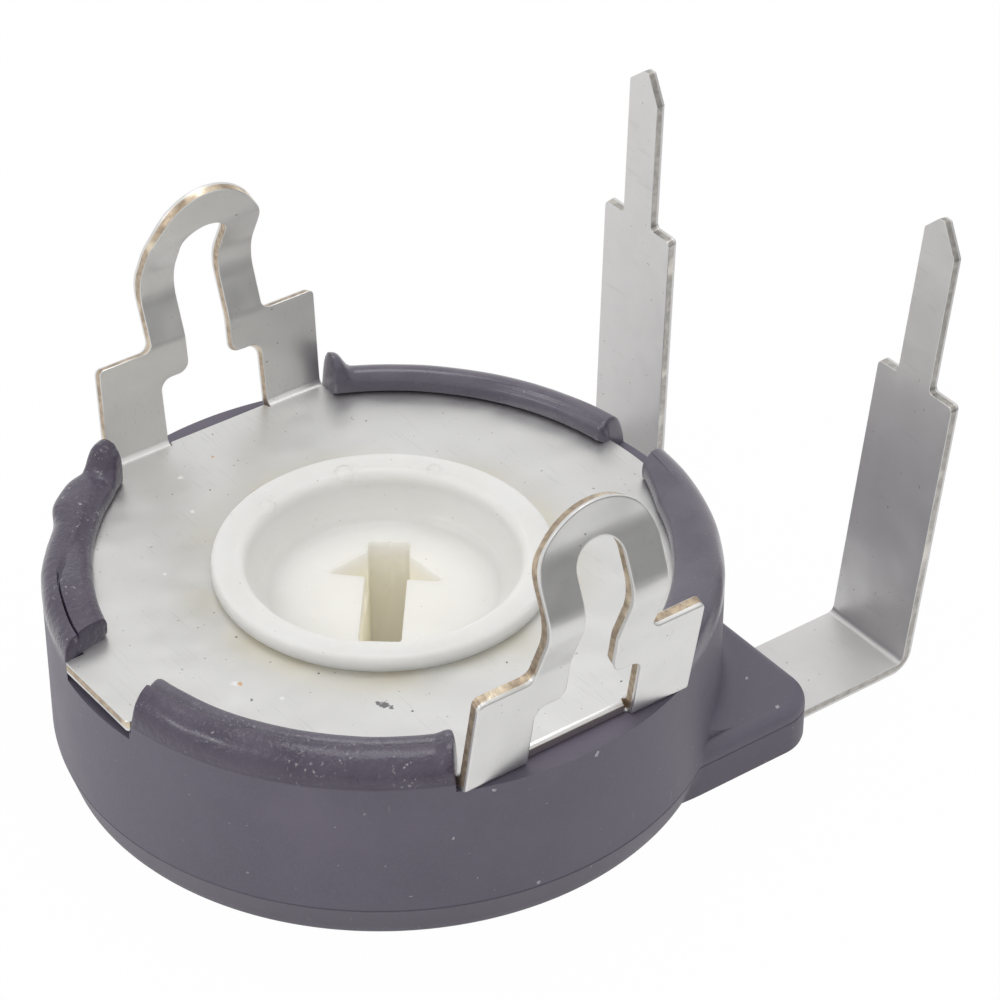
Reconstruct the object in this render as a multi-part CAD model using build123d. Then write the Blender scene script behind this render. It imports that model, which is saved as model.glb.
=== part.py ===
from build123d import *
import os
from math import asin, atan2, cos, degrees, pi, radians, sin, sqrt, tan

# A carbon trimming potentiometer, 16.5 mm across, in millimetres. The origin is on the rotor's
# axis, in the flat bottom of the housing. +X points to the two terminals, +Y to the back snap
# lug, and +Z up to the rotor, the way the terminal pins and the lugs point too.

# Moulded housing
body_diameter = 16.5
wall_thickness = 1.05
floor_thickness = 1.0
rim_height = 4.35
foot_inset = 0.29
seam_height = 0.93
ear_setback = 0.08
ear_width = 14.1
ear_height = 1.35
ear_corner_radius = 1.1
ear_edge_radius = 0.35
ear_root_radius = 0.5

# Four claws of the housing, folded over the cover plate while hot
claw_thickness = 0.48
claw_rise = 0.93
claw_reach = 0.65
claw_nose = 0.22
claw_crest_inset = 0.5
claw_shoulder_inset = 0.15
claw_shoulder_share = 0.7
claw_lug_gap = 0.1
claw_tab_gap = 0.08
claw_split = 2.0

# Cover plate, stamped from one sheet
plate_thickness = 0.3
plate_tab_width = 2.8
plate_tab_inset = 0.1
tab_notch_depth = 0.2
plate_chord_inset = 0.13

# Snap lugs, bent up from the plate
lug_foot_width = 6.4
lug_foot_gap = 3.0
lug_arch_width = 3.33
lug_slot_width = 1.32
lug_gap_height = 1.53
lug_shoulder_height = 2.5
lug_arch_height = 5.13
lug_root_radius = 0.2
lug_bend_radius = 0.7
lug_corner_radius = 0.35
# How far each lug leans out, and how high above the plate: shoulder, kink, knee and tip
front_lug_bends = ((0.51, 2.62), (1.14, 4.15), (0.47, 5.76), (0.37, 7.65))
back_lug_bends = ((0.38, 2.63), (1.0, 4.3), (0.31, 5.75), (0.15, 7.65))

# Two terminals, each one strip bent once
terminal_pitch = 10.0
terminal_thickness = 0.26
terminal_width = 2.7
terminal_reach = 11.38
terminal_lift = 0.1
terminal_root_radius = 0.3
terminal_shoulder_height = 7.75
terminal_height = 12.15
pin_width = 1.15
pin_point_offset = 0.05
pin_point_width = 0.24
pin_long_bevel = 0.8
pin_short_bevel = 0.4
pin_edge_bevel = 0.08
shoulder_radius = 0.12
back_terminal_lean = 1.7
front_terminal_lean = 7.6

# Resistor element: a laminate board with a printed carbon track and silvered ends
board_thickness = 0.6
print_thickness = 0.05
track_width = 1.2
track_gap_half_angle = 36.0
track_pad_angle = 24.0
track_eyelet_gap = 0.4
pad_margin = 0.12
pad_neck_width = 1.0

# Eyelets that rivet each terminal through the floor to the board
eyelet_edge_distance = 0.95
eyelet_inset = 0.5
eyelet_radius = 0.42
eyelet_wall = 0.15
eyelet_flange_radius = 0.65
eyelet_flange_thickness = 0.1

# Rotor
rest_angle = 51.5
travel = 265.0
hub_radius = 2.6
hub_lift = 0.15
neck_radius = 3.7
flange_thickness = 0.9
collar_radius = 4.17
collar_height = 0.45
collar_lip = 0.15
collar_edge_height = 0.18
rim_fall = 0.075
recess_radius = 3.4
recess_floor_radius = 2.75
recess_depth = 1.2
recess_wall_radius = 1.6
slot_length = 4.0
slot_width = 1.05
arrow_base = 0.58
arrow_half_width = 1.37
arrow_depth = 1.2

# End stops: a nose on the rotor's flange and a block inside the housing wall
stop_band = 1.2
stop_nose_half_angle = 12.0
stop_nose_reach = 0.95
stop_play = 1.0

# Wiper spring, staked under the rotor's flange
spring_thickness = 0.15
spring_inset = 0.1
spring_fold = 3.0
spring_root = 0.4
finger_width = 0.45
finger_gap = 0.2
finger_toe = 0.45
toe_lift_share = 0.2
toe_radius = 0.2
spring_bend_radius = 0.1
tongue_inset = 1.1
tongue_width = 0.8
tongue_length = 2.8
tongue_window_margin = 0.25
stake_angles = (128.0, 232.0)
stake_inset = 1.6
stake_radius = 0.35
stake_head_radius = 0.55
stake_head_thickness = 0.12

# Clearances
running_clearance = 0.05
seat_clearance = 0.1
slip_clearance = 0.02
contact_gap = 0.03

FULL_TURN = 360.0
QUARTER_TURN = 90.0

# Sizes that follow from those above
body_radius = body_diameter / 2
ear_reach = body_radius - ear_setback
cup_radius = body_radius - wall_thickness
plate_radius = body_radius - claw_thickness - slip_clearance
plate_top = rim_height + plate_thickness
lug_face_offset = plate_radius
board_radius = cup_radius - seat_clearance
board_top = floor_thickness + board_thickness
print_top = board_top + print_thickness
terminal_y = terminal_pitch / 2
terminal_top = terminal_lift + terminal_thickness
eyelet_y = terminal_y - eyelet_inset
eyelet_circle = board_radius - eyelet_edge_distance
eyelet_x = sqrt(eyelet_circle ** 2 - eyelet_y ** 2)
hole_radius = eyelet_radius + slip_clearance
channel_end = eyelet_x - eyelet_flange_radius - seat_clearance
track_outer = eyelet_circle - eyelet_flange_radius - track_eyelet_gap
track_inner = track_outer - track_width
track_radius = (track_inner + track_outer) / 2
flange_radius = cup_radius - stop_band - seat_clearance
flange_top = rim_height - running_clearance
flange_bottom = flange_top - flange_thickness
spring_bottom = flange_bottom - spring_thickness
collar_top = plate_top + slip_clearance + collar_height
recess_floor = collar_top - recess_depth
stop_inner = flange_radius + seat_clearance
stop_half_angle = (FULL_TURN - travel) / 2 - stop_nose_half_angle - stop_play
spring_outer_radius = flange_radius - spring_inset
tongue_radius = flange_radius - tongue_inset
stake_circle_radius = flange_radius - stake_inset
lug_side_angle = degrees(asin((lug_foot_width / 2 + claw_lug_gap) / plate_radius))
tab_side_angle = degrees(asin((plate_tab_width / 2 + claw_tab_gap) / plate_radius))
split_angle = degrees(asin(claw_split / 2 / plate_radius))


def sector(inner, outer, start, span):
    """A flat ring sector between two radii, from the start angle over the span."""
    edge = [(r * cos(radians(a)), r * sin(radians(a)))
            for a in (start, start + span) for r in (inner, outer)]
    outline = [
        CenterArc((0, 0), inner, start, span),
        Line(edge[0], edge[1]),
        CenterArc((0, 0), outer, start, span),
        Line(edge[2], edge[3]),
    ]
    return make_face(outline)


def upright_cylinder(radius, low, high, x=0.0, y=0.0):
    """A cylinder about a vertical axis between two heights."""
    return Pos(x, y, low) * extrude(Circle(radius), amount=high - low)


def corners_near(face, x, y):
    """The corners of a flat face at (x, y) and at its mirror image (-x, y)."""
    return [v for v in face.vertices()
            if abs(abs(v.X) - abs(x)) < 1e-4 and abs(v.Y - y) < 1e-4]


def bent_sheet(path, bend_radii, thickness, width, plane):
    """Sheet metal of one thickness to the left of a path drawn in the given plane."""
    line = FilletPolyline(*path, radius=bend_radii)
    section = make_face(offset(line, amount=thickness, side=Side.LEFT))
    return extrude(plane * section, amount=width / 2, both=True)


def claw(start, end):
    """One claw: it carries the wall up past the plate's edge and folds over onto the plate."""
    inner_face = plate_radius + slip_clearance
    seat = plate_top + slip_clearance
    crest = rim_height + claw_rise
    tip = plate_radius - claw_reach
    shoulder = seat + (crest - seat) * claw_shoulder_share
    outline = Polyline(
        (inner_face, rim_height),
        (body_radius, rim_height),
        (body_radius, seat),
        (body_radius - claw_shoulder_inset, shoulder),
        (body_radius - claw_crest_inset, crest),
        (tip + claw_nose / 2, seat + claw_nose),
        (tip, seat + claw_nose / 2),
        (tip + claw_nose / 2, seat),
        (inner_face, seat),
        close=True,
    )
    section = Plane.XZ * make_face(outline)
    return Rot(0, 0, start) * revolve(section, axis=Axis.Z, revolution_arc=end - start)


def ear():
    """The low step beside the wall that the terminals come out of, with a hollow root."""
    plan = Pos(ear_reach / 2, 0) * Rectangle(ear_reach, ear_width)
    plan = fillet([v for v in plan.vertices() if v.X > ear_reach / 2], radius=ear_corner_radius)
    block = extrude(plan, amount=ear_height)
    top_edges = block.edges().group_by(Axis.Z)[-1]
    rounded = [e for e in top_edges if e.center().X > ear_corner_radius]
    block = fillet(rounded, radius=ear_edge_radius)
    root_top = ear_height + ear_root_radius
    root_middle = ear_root_radius * (1 - sin(pi / 4))
    root = make_face(Polyline(
        (body_radius - root_middle, ear_height),
        (body_radius - root_middle, root_top),
        (body_radius, root_top),
        (body_radius + root_middle, ear_height + root_middle),
        (body_radius + ear_root_radius, ear_height),
        close=True,
    ))
    ring = revolve(Plane.XZ * root, axis=Axis.Z)
    inner_plan = offset(plan, amount=-ear_edge_radius)
    return block + (ring & extrude(inner_plan, amount=root_top))


def make_housing():
    """Cup, ear, claws and stop block, with underside channels for the terminals."""
    outline = Polyline(
        (0, 0),
        (body_radius - foot_inset, 0),
        (body_radius, seam_height),
        (body_radius, rim_height),
        (0, rim_height),
        close=True,
    )
    body = revolve(Plane.XZ * make_face(outline), axis=Axis.Z)
    body += ear()
    body -= upright_cylinder(cup_radius, floor_thickness, rim_height)
    body -= upright_cylinder(hub_radius + running_clearance, 0, floor_thickness)
    notch = Pos(-body_radius, 0, rim_height) * Box(
        2 * wall_thickness, plate_tab_width, 2 * tab_notch_depth)
    body -= notch
    for near, far in ((split_angle, lug_side_angle), (tab_side_angle, lug_side_angle)):
        pair = claw(near, QUARTER_TURN - far)
        pair += mirror(pair, about=Plane.XZ)
        body += pair if near == split_angle else mirror(pair, about=Plane.YZ)
    stop = sector(stop_inner, cup_radius + wall_thickness / 2, -stop_half_angle, 2 * stop_half_angle)
    stop_top = rim_height - seat_clearance
    body += Pos(0, 0, floor_thickness) * extrude(stop, amount=stop_top - floor_thickness)
    channel = Rectangle(body_radius + ear_reach, terminal_width + 2 * slip_clearance,
                        align=(Align.MIN, Align.CENTER))
    for side in (1, -1):
        slot = Pos(channel_end - slip_clearance, side * terminal_y) * channel
        body -= extrude(slot, amount=terminal_top)
        body -= upright_cylinder(hole_radius, 0, floor_thickness, eyelet_x, side * eyelet_y)
    return body


def lug_outline():
    """Front view of a snap lug: two feet, a waist with shoulders, and a round arch."""
    foot_height = plate_thickness + lug_shoulder_height
    arch_z = plate_thickness + lug_arch_height
    gap_height = plate_thickness + lug_gap_height
    up = (Align.CENTER, Align.MIN)
    shape = Rectangle(lug_foot_width, foot_height, align=up)
    shape += Rectangle(lug_arch_width, arch_z, align=up)
    shape += Pos(0, arch_z) * Circle(lug_arch_width / 2)
    shape -= Rectangle(lug_foot_gap, gap_height, align=up)
    shape -= Rectangle(lug_slot_width, arch_z, align=up)
    shape -= Pos(0, arch_z) * Circle(lug_slot_width / 2)
    soft = corners_near(shape, lug_arch_width / 2, foot_height)
    soft += corners_near(shape, lug_slot_width / 2, gap_height)
    soft += corners_near(shape, lug_foot_gap / 2, gap_height)
    return fillet(soft, radius=lug_corner_radius)


def snap_lug(bends):
    """A lug at +Y: the sheet's side view along its outer face, trimmed to the front view."""
    path = [(lug_face_offset, 0)]
    path += [(lug_face_offset + out, plate_thickness + height) for out, height in bends]
    radii = [lug_bend_radius] * (len(bends) - 1)
    sheet = bent_sheet(path, radii, plate_thickness, lug_foot_width, Plane.YZ)
    root_end = lug_face_offset - plate_thickness
    root = Pos(root_end, plate_thickness) * Rectangle(2 * lug_root_radius, 2 * lug_root_radius)
    root -= Pos(root_end - lug_root_radius, plate_thickness + lug_root_radius) * Circle(lug_root_radius)
    sheet += extrude(Plane.YZ * root, amount=lug_foot_width / 2, both=True)
    trim = extrude(Plane.XZ * lug_outline(), amount=-2 * lug_face_offset)
    return sheet & trim


def make_cover_plate():
    """The stamped plate with its centre hole, its tab and the two bent-up lugs."""
    plate = Circle(plate_radius)
    tab_reach = body_radius - plate_tab_inset
    plate += Pos(-tab_reach / 2, 0) * Rectangle(tab_reach, plate_tab_width)
    plate += Rectangle(lug_foot_width, 2 * lug_face_offset)
    chord = plate_radius - plate_chord_inset
    for side in (1, -1):
        plate -= Pos(0, side * (chord + body_radius / 2)) * Rectangle(lug_foot_gap, body_radius)
    plate -= Circle(neck_radius + running_clearance)
    cover = extrude(plate, amount=plate_thickness)
    cover += snap_lug(back_lug_bends)
    cover += Rot(0, 0, 180) * snap_lug(front_lug_bends)
    return Pos(0, 0, rim_height) * cover


def terminal_outline():
    """Front view of a terminal: a wide blade, shoulders and a pin cut to a point off its middle."""
    up = (Align.CENTER, Align.MIN)
    shape = Rectangle(terminal_width, terminal_shoulder_height, align=up)
    shape += Rectangle(pin_width, terminal_height - pin_long_bevel, align=up)
    shape += make_face(Polyline(
        (-pin_width / 2, terminal_height - pin_long_bevel),
        (pin_width / 2, terminal_height - pin_long_bevel),
        (pin_width / 2, terminal_height - pin_short_bevel),
        (pin_point_offset + pin_point_width / 2, terminal_height),
        (pin_point_offset - pin_point_width / 2, terminal_height),
        close=True,
    ))
    return fillet(corners_near(shape, pin_width / 2, terminal_shoulder_height), radius=shoulder_radius)


def make_terminal(side, lean):
    """A strip that lies in the housing's channel and turns up outside it."""
    outer_face = terminal_reach + terminal_thickness
    lean_out = (terminal_height - terminal_lift) * tan(radians(lean))
    path = [
        (channel_end, terminal_lift),
        (outer_face, terminal_lift),
        (outer_face + lean_out, terminal_height),
    ]
    bend = terminal_root_radius + terminal_thickness
    strip = bent_sheet(path, [bend], terminal_thickness, terminal_width, Plane.XZ)
    trim = Plane.YZ * terminal_outline()
    strip &= extrude(trim, amount=2 * terminal_reach)
    point_root = terminal_height - pin_long_bevel
    point_edges = [e for e in strip.edges()
                   if e.center().Z > point_root + pin_edge_bevel and abs(e.tangent_at(0.5).Y) > 0.1]
    strip = chamfer(point_edges, length=pin_edge_bevel)
    strip -= upright_cylinder(hole_radius, 0, terminal_top, eyelet_x, -eyelet_inset * side)
    return Pos(0, side * terminal_y, 0) * strip


def make_board():
    """The laminate board, notched round the stop block so that it can't turn."""
    face = Circle(board_radius)
    face -= Circle(hub_radius + 2 * seat_clearance)
    notch = stop_half_angle + 1
    face -= sector(stop_inner - seat_clearance, body_radius, -notch, 2 * notch)
    for side in (1, -1):
        face -= Pos(eyelet_x, side * eyelet_y) * Circle(hole_radius)
    return Pos(0, 0, floor_thickness) * extrude(face, amount=board_thickness)


def make_carbon_track():
    """The printed carbon horseshoe between its two silvered ends."""
    start = track_gap_half_angle + track_pad_angle
    face = sector(track_inner, track_outer, start, FULL_TURN - 2 * start)
    return Pos(0, 0, board_top) * extrude(face, amount=print_thickness)


def make_track_pad(side):
    """A silvered track end, carried out to the eyelet on its side."""
    start = track_gap_half_angle if side > 0 else -track_gap_half_angle - track_pad_angle
    face = sector(track_inner, track_outer, start, track_pad_angle)
    face += Pos(eyelet_x, side * eyelet_y) * Circle(eyelet_flange_radius + pad_margin)
    neck = Pos(track_radius, 0) * Rectangle(
        eyelet_circle - track_radius, pad_neck_width, align=(Align.MIN, Align.CENTER))
    face += Rot(0, 0, side * degrees(atan2(eyelet_y, eyelet_x))) * neck
    face -= Pos(eyelet_x, side * eyelet_y) * Circle(hole_radius)
    return Pos(0, 0, board_top) * extrude(face, amount=print_thickness)


def make_eyelet(side):
    """A hollow rivet with a rolled flange below the terminal and one on the silvered pad."""
    low = terminal_lift - eyelet_flange_thickness
    high = print_top + eyelet_flange_thickness
    rivet = upright_cylinder(eyelet_radius, low, high)
    rivet += upright_cylinder(eyelet_flange_radius, low, terminal_lift)
    rivet += upright_cylinder(eyelet_flange_radius, print_top, high)
    rivet -= upright_cylinder(eyelet_radius - eyelet_wall, low, high)
    return Pos(eyelet_x, side * eyelet_y, 0) * rivet


def rotor_section():
    """Half of the rotor's turned shape, from the hub's end to the flared collar."""
    under_collar = plate_top + slip_clearance
    rim_edge = collar_top - rim_fall
    outline = [
        Polyline(
            (0, recess_floor),
            (0, hub_lift),
            (hub_radius, hub_lift),
            (hub_radius, flange_bottom),
            (flange_radius, flange_bottom),
            (flange_radius, flange_top),
            (neck_radius, flange_top),
            (neck_radius, under_collar),
            (collar_radius - collar_lip, under_collar),
            (collar_radius, under_collar + collar_edge_height),
            (collar_radius - collar_lip, collar_top),
            (recess_radius, rim_edge),
        ),
        RadiusArc((recess_radius, rim_edge), (recess_floor_radius, recess_floor), -recess_wall_radius),
        Line((recess_floor_radius, recess_floor), (0, recess_floor)),
    ]
    return make_face(outline)


def make_rotor():
    """Hub, flange, neck and collar in one moulding, with the driver slot and its arrow."""
    rotor = revolve(Plane.XZ * rotor_section(), axis=Axis.Z)
    nose = sector(neck_radius, flange_radius + stop_nose_reach, -stop_nose_half_angle,
                  2 * stop_nose_half_angle)
    rotor += Pos(0, 0, flange_bottom) * extrude(nose, amount=flange_thickness)
    slot = Rectangle(slot_length, slot_width)
    rotor -= Pos(0, 0, hub_lift) * extrude(slot, amount=recess_floor - hub_lift)
    arrow = make_face(Polyline(
        (arrow_base, -arrow_half_width),
        (slot_length / 2, 0),
        (arrow_base, arrow_half_width),
        close=True,
    ))
    rotor -= Pos(0, 0, recess_floor - arrow_depth) * extrude(arrow, amount=arrow_depth)
    window = Rectangle(tongue_width + 2 * tongue_window_margin, tongue_length + 2 * tongue_window_margin)
    rotor -= Pos(-tongue_radius, 0, flange_bottom) * extrude(window, amount=flange_thickness)
    for angle in stake_angles:
        x = stake_circle_radius * cos(radians(angle))
        y = stake_circle_radius * sin(radians(angle))
        rotor += upright_cylinder(stake_radius, spring_bottom, flange_bottom, x, y)
        head_bottom = spring_bottom - stake_head_thickness
        rotor += upright_cylinder(stake_head_radius, head_bottom, spring_bottom, x, y)
    return Rot(0, 0, rest_angle) * rotor


def spring_strip(start, end, width, y_start, y_end, toe):
    """A straight spring arm along Y, from the sheet's level to the end height, with its toe."""
    path = [
        (y_start - spring_root, start),
        (y_start, start),
        (y_end, end),
        (y_end + toe, end + (start - end) * toe_lift_share),
    ]
    return bent_sheet(path, [spring_bend_radius, toe_radius], spring_thickness, width, Plane.YZ)


def make_wiper_spring():
    """Twin fingers down to the track and a tongue up to the plate, from one sheet."""
    face = Circle(spring_outer_radius) - Circle(hub_radius + seat_clearance)
    window_height = 2 * spring_outer_radius
    face -= Pos(hub_radius, -spring_fold) * Rectangle(
        window_height, window_height, align=(Align.MIN, Align.MIN))
    tongue_cut = Rectangle(tongue_width + 2 * tongue_window_margin, tongue_length + tongue_window_margin,
                           align=(Align.CENTER, Align.MIN))
    face -= Pos(-tongue_radius, -tongue_length / 2) * tongue_cut
    for angle in stake_angles:
        x = stake_circle_radius * cos(radians(angle))
        y = stake_circle_radius * sin(radians(angle))
        face -= Pos(x, y) * Circle(stake_radius + slip_clearance)
    spring = Pos(0, 0, spring_bottom) * extrude(face, amount=spring_thickness)
    down = print_top + contact_gap
    for side in (1, -1):
        x = track_radius + side * (finger_width + finger_gap) / 2
        finger = spring_strip(spring_bottom, down, finger_width, -spring_fold, -finger_toe / 3, finger_toe)
        spring += Pos(x, 0, 0) * finger
    up = rim_height - contact_gap - spring_thickness
    tongue = spring_strip(spring_bottom, up, tongue_width, -tongue_length / 2,
                          tongue_length / 2 - finger_toe, finger_toe)
    spring += Pos(-tongue_radius, 0, 0) * tongue
    spring &= upright_cylinder(spring_outer_radius, 0, rim_height)
    return Rot(0, 0, rest_angle) * spring


parts = {
    "housing": make_housing(),
    "cover_plate": make_cover_plate(),
    "rotor": make_rotor(),
    "wiper_spring": make_wiper_spring(),
    "resistor_board": make_board(),
    "carbon_track": make_carbon_track(),
}
for name, side, lean in (("back", 1, back_terminal_lean), ("front", -1, front_terminal_lean)):
    parts[name + "_terminal"] = make_terminal(side, lean)
    parts[name + "_track_pad"] = make_track_pad(side)
    parts[name + "_eyelet"] = make_eyelet(side)

os.makedirs("parts", exist_ok=True)
for name, shape in parts.items():
    export_step(shape, "parts/" + name + ".step")
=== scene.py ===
import math

import bmesh
import bpy
import numpy as np
from mathutils import Matrix, Vector, noise
from mathutils.geometry import tessellate_polygon


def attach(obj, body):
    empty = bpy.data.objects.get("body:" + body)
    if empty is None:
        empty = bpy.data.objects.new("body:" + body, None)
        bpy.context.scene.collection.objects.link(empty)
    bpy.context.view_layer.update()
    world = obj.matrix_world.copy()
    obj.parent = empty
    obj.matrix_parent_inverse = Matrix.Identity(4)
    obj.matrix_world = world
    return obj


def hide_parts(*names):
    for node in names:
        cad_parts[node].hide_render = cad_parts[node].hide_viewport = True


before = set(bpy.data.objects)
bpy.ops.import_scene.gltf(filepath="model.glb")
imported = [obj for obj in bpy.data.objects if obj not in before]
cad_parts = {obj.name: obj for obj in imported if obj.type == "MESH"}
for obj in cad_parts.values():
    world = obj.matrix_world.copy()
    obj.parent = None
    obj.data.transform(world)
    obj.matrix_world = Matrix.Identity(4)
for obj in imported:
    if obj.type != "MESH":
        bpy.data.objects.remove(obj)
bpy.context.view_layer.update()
mm = 0.001

# The studio: a pale table that fades into a white background, an even white sky that is dimmer
# low down in front, a broad soft lamp overhead and a small one on the left. The camera looks down
# from the left front.
camera_place, camera_lens = (-40.487, -59.693, 58.915), 134.16
camera_pitch, camera_heading = 35.953, -36.377
front_direction = (0.46, -0.89, 0.0)
white = (1, 1, 1, 1)
dim_sky, full_sky = 0.13, 0.86
table_half = 2.0
dim_table = 0.16


def feed(tree, made, **inputs):
    """Gives a node its inputs, by name or as i and a number: a socket is linked, a value is set."""
    for key, value in inputs.items():
        target = made.inputs[int(key[1:])] if key[1:].isdigit() else made.inputs[key.replace("_", " ")]
        if isinstance(value, bpy.types.NodeSocket):
            tree.links.new(value, target)
        else:
            target.default_value = value
    return made


def node(tree, kind, settings=None, **inputs):
    """One node with its settings and inputs."""
    made = tree.nodes.new(kind)
    for key, value in (settings or {}).items():
        setattr(made, key, value)
    return feed(tree, made, **inputs)


def calc(tree, operation, *terms):
    """Values or sockets taken together one after the other, each result kept between 0 and 1."""
    result = terms[0]
    for term in terms[1:]:
        result = node(tree, "ShaderNodeMath", {"operation": operation, "use_clamp": True},
                      i0=result, i1=term).outputs[0]
    return result


def times(tree, *factors):
    """The product of masks or values."""
    return calc(tree, "MULTIPLY", *factors)


def most(tree, *masks):
    """The largest of some masks or values."""
    return calc(tree, "MAXIMUM", *masks)


def vector_step(tree, operation, first, second, output="Vector"):
    """One arithmetic step between two vectors."""
    return node(tree, "ShaderNodeVectorMath", {"operation": operation}, i0=first, i1=second).outputs[output]


def spread(tree, value, low, high, to_low=0.0, to_high=1.0):
    """A value eased from one range to another."""
    return node(tree, "ShaderNodeMapRange", {"interpolation_type": "SMOOTHSTEP"}, Value=value,
                From_Min=low, From_Max=high, To_Min=to_low, To_Max=to_high).outputs[0]


camera_view = bpy.data.cameras.new("camera")
camera_view.sensor_width = 36
camera_view.lens = camera_lens
camera_view.clip_start = 0.001
camera = bpy.data.objects.new("camera", camera_view)
camera.location = [along * mm for along in camera_place]
camera.rotation_euler = (math.radians(90 - camera_pitch), 0, math.radians(camera_heading))
bpy.context.scene.collection.objects.link(camera)
bpy.context.scene.camera = camera
bpy.context.scene.view_settings.view_transform = "Standard"

sky = bpy.data.worlds.new("sky")
sky.use_nodes = True
bpy.context.scene.world = sky
tree = sky.node_tree
tree.nodes.clear()
direction = node(tree, "ShaderNodeTexCoord").outputs["Generated"]
parts = node(tree, "ShaderNodeSeparateXYZ", Vector=direction)
low_down = spread(tree, parts.outputs["Z"], 0.42, 0.04)
front = spread(tree, vector_step(tree, "DOT_PRODUCT", direction, front_direction, "Value"), 0.3, 0.88)
shade = spread(tree, times(tree, low_down, front), 0.0, 1.0, full_sky, dim_sky)
path = node(tree, "ShaderNodeLightPath")
lit = node(tree, "ShaderNodeBackground", Color=white, Strength=shade)
seen = node(tree, "ShaderNodeBackground", Color=white, Strength=1.0)
either = node(tree, "ShaderNodeMixShader", Fac=path.outputs["Is Camera Ray"], i1=lit.outputs[0],
              i2=seen.outputs[0])
node(tree, "ShaderNodeOutputWorld", Surface=either.outputs[0])

# Each lamp: name, place in metres, size, power
for name, place, size, power in (("soft lamp", (0.06, 0.05, 0.30), 0.16, 0.17),
                                 ("left lamp", (-0.21, 0.045, 0.21), 0.06, 0.085)):
    lamp_data = bpy.data.lights.new(name, "AREA")
    lamp_data.shape = "DISK"
    lamp_data.size = size
    lamp_data.energy = power
    lamp = bpy.data.objects.new(name, lamp_data)
    lamp.location = place
    lamp.rotation_euler = (-Vector(place)).to_track_quat("-Z", "Y").to_euler()
    bpy.context.scene.collection.objects.link(lamp)

table_mesh = bpy.data.meshes.new("table")
corners = ((-table_half, -table_half, 0), (table_half, -table_half, 0), (table_half, table_half, 0),
           (-table_half, table_half, 0))
table_mesh.from_pydata(corners, [], [(0, 1, 2, 3)])
table = bpy.data.objects.new("table", table_mesh)
bpy.context.scene.collection.objects.link(table)
table_top = bpy.data.materials.new("table_top")
table_top.use_nodes = True
tree = table_top.node_tree
tree.nodes.clear()
matt = node(tree, "ShaderNodeBsdfDiffuse", Color=(0.8, 0.8, 0.8, 1))
path = node(tree, "ShaderNodeLightPath")
place = node(tree, "ShaderNodeTexCoord").outputs["Object"]
# The table glows: white for the camera, and for reflections at the sky's brightness but dimmer far in front,
# which puts a painted dark reflection into metal that faces the front.
ahead = vector_step(tree, "DOT_PRODUCT", place, front_direction, "Value")
fading = times(tree, spread(tree, ahead, 18 * mm, 44 * mm), path.outputs["Is Glossy Ray"])
glow = node(tree, "ShaderNodeEmission", Color=white, Strength=spread(tree, fading, 0.0, 1.0, 1.0, dim_table))
mirrored = most(tree, path.outputs["Is Glossy Ray"], path.outputs["Is Transmission Ray"])
share = most(tree, times(tree, mirrored, full_sky), times(tree, path.outputs["Is Camera Ray"], 0.985))
surface = node(tree, "ShaderNodeMixShader", Fac=share, i1=matt.outputs[0], i2=glow.outputs[0])
node(tree, "ShaderNodeOutputMaterial", Surface=surface.outputs[0])
table_mesh.materials.append(table_top)

# Housing: one dark violet-grey moulding, a round cup with a low ear on the terminal side. Its
# wall stands up as four claws that were softened and folded over the cover plate, which leaves a
# flat lip on the plate, a crease behind it and a swollen, slightly torn shoulder.
wall_radius = 8.25
cup_radius = 7.2
claw_root = 7.77
rim = 4.35
floor_top = 1.0
seam, foot_inset = 0.93, 0.29
claw_shoulder, lip_level = 4.62, 4.67
bore = 2.65
stop_radius = 6.0
stop_top = 4.25
stop_angle = 34.5
notch_angle = 9.77
ear_reach, ear_side, ear_corner, ear_edge = 8.17, 7.05, 1.1, 0.35
ear_height, ear_root = 1.35, 0.5
# Each claw: where its two ends lie at the wall and at its tip, in degrees, its crest's height and
# radius, how full its shoulder is, and how far its tip reaches in at angles round it
claws = (
    (7.4, 6.8, 66.4, 64.8, 5.25, 7.75, 2.2, ((0, 7.36), (20, 7.40), (50, 7.44), (66, 7.42))),
    (113.8, 116.0, 170.8, 167.0, 5.18, 7.86, 2.2,
     ((115, 7.42), (123, 7.28), (134, 7.16), (148, 7.0), (170, 7.0))),
    (190.2, 187.0, 246.4, 248.8, 5.28, 7.56, 2.1, ((186, 7.04), (200, 7.0), (235, 6.99), (247, 7.02))),
    (293.8, 297.6, 356.2, 353.5, 5.32, 7.62, 2.3, ((295, 7.03), (325, 6.97), (342, 7.03), (354, 7.3))),
)
# The folded side of each claw from its crest to its root, as radius and drop below the crest: a
# first and a second form, and the angles between which the one turns into the other
smooth_fold = ((7.58, 0.01), (7.50, 0.025), (7.42, 0.045), (7.35, 0.065), (7.28, 0.085), (7.22, 0.105),
               (7.16, 0.13), (7.11, 0.155), (7.07, 0.19), (7.03, 0.24), (7.005, 0.32), (7.0, 0.44))
upright_fold = ((7.60, 0.005), (7.48, 0.02), (7.37, 0.045), (7.27, 0.08), (7.19, 0.12), (7.12, 0.165),
                (7.07, 0.215), (7.03, 0.27), (7.01, 0.325), (7.0, 0.38), (7.0, 0.43), (7.01, 0.49))
grooved_fold = ((7.60, 0.005), (7.50, 0.03), (7.43, 0.075), (7.37, 0.115), (7.31, 0.13), (7.24, 0.125),
                (7.17, 0.135), (7.10, 0.17), (7.04, 0.225), (7.01, 0.30), (7.0, 0.38), (7.01, 0.49))
lipped_fold = ((7.54, 0.005), (7.51, 0.03), (7.47, 0.10), (7.43, 0.17), (7.39, 0.19), (7.34, 0.15),
               (7.27, 0.12), (7.17, 0.11), (7.08, 0.125), (7.03, 0.16), (7.005, 0.23), (7.0, 0.42))
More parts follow.
